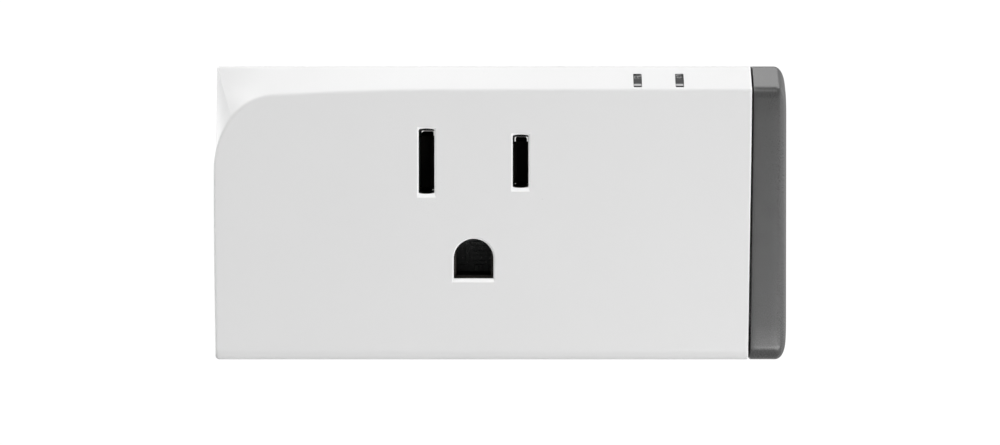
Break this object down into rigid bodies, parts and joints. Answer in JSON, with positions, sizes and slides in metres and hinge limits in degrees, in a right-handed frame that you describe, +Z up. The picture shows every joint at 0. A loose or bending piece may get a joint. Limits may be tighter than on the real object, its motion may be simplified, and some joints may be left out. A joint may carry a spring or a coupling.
{
  "type": "smart plug",
  "caption": "Compact smart plug: white case with one three-pole socket and two status windows, a grey end cap with the power button, and a plug behind.",
  "frame": {"origin": "on the wall-side face, midway between the two flat blades", "axes": "+X towards the grey end cap, -Y out of the socket face, +Z up with the earth hole below"},
  "size_m": [0.075, 0.053, 0.0384],
  "materials": {
    "white_plastic": "fine satin",
    "grey_plastic": "fine matte",
    "black_plastic": "matte",
    "clear_plastic": "frosted clear",
    "nickel": "nickel plate",
    "brass": "satin sheet",
    "copper": "satin copper",
    "steel": "zinc",
    "circuit_board": "solder mask",
    "moulded_box": "moulded",
    "varistor_coat": "dipped",
    "ferrite": "sintered",
    "lamp_body": "moulded",
    "white_nylon": "moulded"
  },
  "bodies": {
    "case": {"front_housing": "white_plastic", "rear_housing": "white_plastic", "end_cap": "grey_plastic", "screw_1": "steel", "screw_2": "steel", "screw_3": "steel", "light_pipe_left": "clear_plastic", "light_pipe_right": "clear_plastic", "led_left": "lamp_body", "led_right": "lamp_body", "contact_carrier": "black_plastic", "neutral_contact": "brass", "hot_contact": "brass", "ground_contact": "brass", "ground_strap": "brass", "neutral_blade": "nickel", "hot_blade": "nickel", "ground_pin": "nickel", "blade_holder": "black_plastic", "main_board": "circuit_board", "line_busbar": "copper", "film_capacitor": "moulded_box", "bridge_rectifier": "black_plastic", "supply_chip": "black_plastic", "metering_chip": "black_plastic", "current_shunt": "copper", "voltage_regulator": "black_plastic", "input_capacitor": "black_plastic", "output_capacitor": "black_plastic", "inductor": "ferrite", "varistor": "varistor_coat", "fuse": "nickel", "control_board": "circuit_board", "wifi_chip": "black_plastic", "memory_chip": "black_plastic", "crystal": "nickel", "antenna": "copper", "pin_header": "black_plastic", "tact_switch_body": "black_plastic", "relay_base": "black_plastic", "relay_case": "moulded_box", "relay_bobbin": "white_nylon", "relay_winding": "copper", "relay_core": "nickel", "relay_yoke": "nickel", "relay_fixed_contact": "brass"},
    "power_button": {"power_button": "grey_plastic"},
    "switch_plunger": {"tact_switch_plunger": "white_nylon"},
    "relay_armature": {"relay_armature": "nickel", "relay_moving_contact": "brass"}
  },
  "joints": [
    {"name": "button_press", "type": "slide", "parent": "case", "child": "power_button", "axis": [-1, 0, 0], "range_m": [0, 0.0004], "stiffness_N_per_m": 2500},
    {"name": "plunger_press", "type": "slide", "parent": "case", "child": "switch_plunger", "axis": [-1, 0, 0], "range_m": [0, 0.0004]},
    {"name": "armature_swing", "type": "hinge", "parent": "case", "child": "relay_armature", "pos_m": [-0.0197, -0.0216, -0.0091], "axis": [-1, 0, 0], "range_deg": [0, 3], "stiffness_Nm_per_rad": 0.02}
  ],
  "couplings": [
    {"joint": "plunger_press", "follows": "button_press", "ratio": 1}
  ]
}
